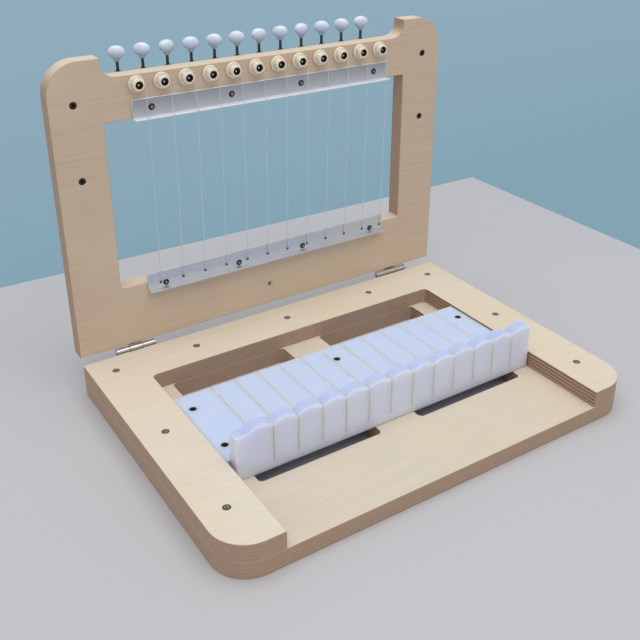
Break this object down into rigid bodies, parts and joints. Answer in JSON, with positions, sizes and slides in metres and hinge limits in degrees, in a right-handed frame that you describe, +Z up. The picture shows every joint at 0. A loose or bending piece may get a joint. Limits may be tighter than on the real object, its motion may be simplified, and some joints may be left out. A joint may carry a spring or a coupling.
{
  "type": "multi-wire slicer",
  "caption": "Plywood wire slicer: a hinged frame of tuned steel wires folds down through a slotted comb fence and cutting plate to cut a block into equal bars",
  "frame": {"origin": "middle of the base's underside, where the object rests on the table", "axes": "X along the hinge, to the right seen from the open front; Y from the open front to the hinge; Z up"},
  "size_m": [0.4, 0.3134, 0.3052],
  "materials": {
    "plywood": "bare sanded birch plywood",
    "white_plastic": "milled white polyethylene",
    "screw_steel": "zinc-plated steel",
    "dark_screw": "black phosphate steel",
    "hinge_steel": "pressed zinc-plated steel",
    "aluminium_angle": "extruded aluminium, mill finish",
    "wire_steel": "drawn stainless wire",
    "bracket_brass": "pressed brass, satin",
    "cream_plastic": "turned cream plastic, semi-gloss",
    "gear_brass": "cut brass, satin",
    "pearl_plastic": "pearl plastic on a steel shaft"
  },
  "bodies": {
    "base": {"base_board": "plywood", "base_rim": "plywood", "cutting_plate": "white_plastic", "comb_fence": "white_plastic", "rim_screws": "screw_steel", "plate_screws": "dark_screw", "base_leaves": "hinge_steel", "hinge_pins": "hinge_steel", "base_leaf_screws": "screw_steel"},
    "wire_frame": {"frame_panel": "plywood", "frame_screws": "dark_screw", "frame_leaves": "hinge_steel", "frame_leaf_screws": "screw_steel", "top_angle": "aluminium_angle", "bottom_angle": "aluminium_angle", "angle_screws": "screw_steel", "wires": "wire_steel", "tuner_brackets": "bracket_brass", "bracket_screws": "screw_steel"},
    "post_01": {"spool_01": "cream_plastic", "gear_01": "gear_brass"},
    "key_01": {"key_01": "pearl_plastic"},
    "post_02": {"spool_02": "cream_plastic", "gear_02": "gear_brass"},
    "key_02": {"key_02": "pearl_plastic"},
    "post_03": {"spool_03": "cream_plastic", "gear_03": "gear_brass"},
    "key_03": {"key_03": "pearl_plastic"},
    "post_04": {"spool_04": "cream_plastic", "gear_04": "gear_brass"},
    "key_04": {"key_04": "pearl_plastic"},
    "post_05": {"spool_05": "cream_plastic", "gear_05": "gear_brass"},
    "key_05": {"key_05": "pearl_plastic"},
    "post_06": {"spool_06": "cream_plastic", "gear_06": "gear_brass"},
    "key_06": {"key_06": "pearl_plastic"},
    "post_07": {"spool_07": "cream_plastic", "gear_07": "gear_brass"},
    "key_07": {"key_07": "pearl_plastic"},
    "post_08": {"spool_08": "cream_plastic", "gear_08": "gear_brass"},
    "key_08": {"key_08": "pearl_plastic"},
    "post_09": {"spool_09": "cream_plastic", "gear_09": "gear_brass"},
    "key_09": {"key_09": "pearl_plastic"},
    "post_10": {"spool_10": "cream_plastic", "gear_10": "gear_brass"},
    "key_10": {"key_10": "pearl_plastic"},
    "post_11": {"spool_11": "cream_plastic", "gear_11": "gear_brass"},
    "key_11": {"key_11": "pearl_plastic"},
    "post_12": {"spool_12": "cream_plastic", "gear_12": "gear_brass"},
    "key_12": {"key_12": "pearl_plastic"}
  },
  "joints": [
    {"name": "frame_hinge", "type": "hinge", "parent": "base", "child": "wire_frame", "pos_m": [0, 0.1449, 0.031], "axis": [1, 0, 0], "range_deg": [0, 90]},
    {"name": "post_turn_01", "type": "hinge", "parent": "wire_frame", "child": "post_01", "pos_m": [-0.1248, 0.1662, 0.2767], "axis": [0, 1, 0], "continuous": true},
    {"name": "key_turn_01", "type": "hinge", "parent": "wire_frame", "child": "key_01", "pos_m": [-0.1313, 0.1662, 0.2767], "axis": [0, 0, 1], "continuous": true},
    {"name": "post_turn_02", "type": "hinge", "parent": "wire_frame", "child": "post_02", "pos_m": [-0.1022, 0.1662, 0.2767], "axis": [0, 1, 0], "continuous": true},
    {"name": "key_turn_02", "type": "hinge", "parent": "wire_frame", "child": "key_02", "pos_m": [-0.1087, 0.1662, 0.2767], "axis": [0, 0, 1], "continuous": true},
    {"name": "post_turn_03", "type": "hinge", "parent": "wire_frame", "child": "post_03", "pos_m": [-0.0796, 0.1662, 0.2767], "axis": [0, 1, 0], "continuous": true},
    {"name": "key_turn_03", "type": "hinge", "parent": "wire_frame", "child": "key_03", "pos_m": [-0.0861, 0.1662, 0.2767], "axis": [0, 0, 1], "continuous": true},
    {"name": "post_turn_04", "type": "hinge", "parent": "wire_frame", "child": "post_04", "pos_m": [-0.057, 0.1662, 0.2767], "axis": [0, 1, 0], "continuous": true},
    {"name": "key_turn_04", "type": "hinge", "parent": "wire_frame", "child": "key_04", "pos_m": [-0.0635, 0.1662, 0.2767], "axis": [0, 0, 1], "continuous": true},
    {"name": "post_turn_05", "type": "hinge", "parent": "wire_frame", "child": "post_05", "pos_m": [-0.0344, 0.1662, 0.2767], "axis": [0, 1, 0], "continuous": true},
    {"name": "key_turn_05", "type": "hinge", "parent": "wire_frame", "child": "key_05", "pos_m": [-0.0409, 0.1662, 0.2767], "axis": [0, 0, 1], "continuous": true},
    {"name": "post_turn_06", "type": "hinge", "parent": "wire_frame", "child": "post_06", "pos_m": [-0.0118, 0.1662, 0.2767], "axis": [0, 1, 0], "continuous": true},
    {"name": "key_turn_06", "type": "hinge", "parent": "wire_frame", "child": "key_06", "pos_m": [-0.0183, 0.1662, 0.2767], "axis": [0, 0, 1], "continuous": true},
    {"name": "post_turn_07", "type": "hinge", "parent": "wire_frame", "child": "post_07", "pos_m": [0.0108, 0.1662, 0.2767], "axis": [0, 1, 0], "continuous": true},
    {"name": "key_turn_07", "type": "hinge", "parent": "wire_frame", "child": "key_07", "pos_m": [0.0043, 0.1662, 0.2767], "axis": [0, 0, 1], "continuous": true},
    {"name": "post_turn_08", "type": "hinge", "parent": "wire_frame", "child": "post_08", "pos_m": [0.0334, 0.1662, 0.2767], "axis": [0, 1, 0], "continuous": true},
    {"name": "key_turn_08", "type": "hinge", "parent": "wire_frame", "child": "key_08", "pos_m": [0.0269, 0.1662, 0.2767], "axis": [0, 0, 1], "continuous": true},
    {"name": "post_turn_09", "type": "hinge", "parent": "wire_frame", "child": "post_09", "pos_m": [0.056, 0.1662, 0.2767], "axis": [0, 1, 0], "continuous": true},
    {"name": "key_turn_09", "type": "hinge", "parent": "wire_frame", "child": "key_09", "pos_m": [0.0495, 0.1662, 0.2767], "axis": [0, 0, 1], "continuous": true},
    {"name": "post_turn_10", "type": "hinge", "parent": "wire_frame", "child": "post_10", "pos_m": [0.0786, 0.1662, 0.2767], "axis": [0, 1, 0], "continuous": true},
    {"name": "key_turn_10", "type": "hinge", "parent": "wire_frame", "child": "key_10", "pos_m": [0.0721, 0.1662, 0.2767], "axis": [0, 0, 1], "continuous": true},
    {"name": "post_turn_11", "type": "hinge", "parent": "wire_frame", "child": "post_11", "pos_m": [0.1012, 0.1662, 0.2767], "axis": [0, 1, 0], "continuous": true},
    {"name": "key_turn_11", "type": "hinge", "parent": "wire_frame", "child": "key_11", "pos_m": [0.0947, 0.1662, 0.2767], "axis": [0, 0, 1], "continuous": true},
    {"name": "post_turn_12", "type": "hinge", "parent": "wire_frame", "child": "post_12", "pos_m": [0.1238, 0.1662, 0.2767], "axis": [0, 1, 0], "continuous": true},
    {"name": "key_turn_12", "type": "hinge", "parent": "wire_frame", "child": "key_12", "pos_m": [0.1173, 0.1662, 0.2767], "axis": [0, 0, 1], "continuous": true}
  ],
  "couplings": [
    {"joint": "post_turn_01", "follows": "key_turn_01", "ratio": -0.071429},
    {"joint": "post_turn_02", "follows": "key_turn_02", "ratio": -0.071429},
    {"joint": "post_turn_03", "follows": "key_turn_03", "ratio": -0.071429},
    {"joint": "post_turn_04", "follows": "key_turn_04", "ratio": -0.071429},
    {"joint": "post_turn_05", "follows": "key_turn_05", "ratio": -0.071429},
    {"joint": "post_turn_06", "follows": "key_turn_06", "ratio": -0.071429},
    {"joint": "post_turn_07", "follows": "key_turn_07", "ratio": -0.071429},
    {"joint": "post_turn_08", "follows": "key_turn_08", "ratio": -0.071429},
    {"joint": "post_turn_09", "follows": "key_turn_09", "ratio": -0.071429},
    {"joint": "post_turn_10", "follows": "key_turn_10", "ratio": -0.071429},
    {"joint": "post_turn_11", "follows": "key_turn_11", "ratio": -0.071429},
    {"joint": "post_turn_12", "follows": "key_turn_12", "ratio": -0.071429}
  ]
}
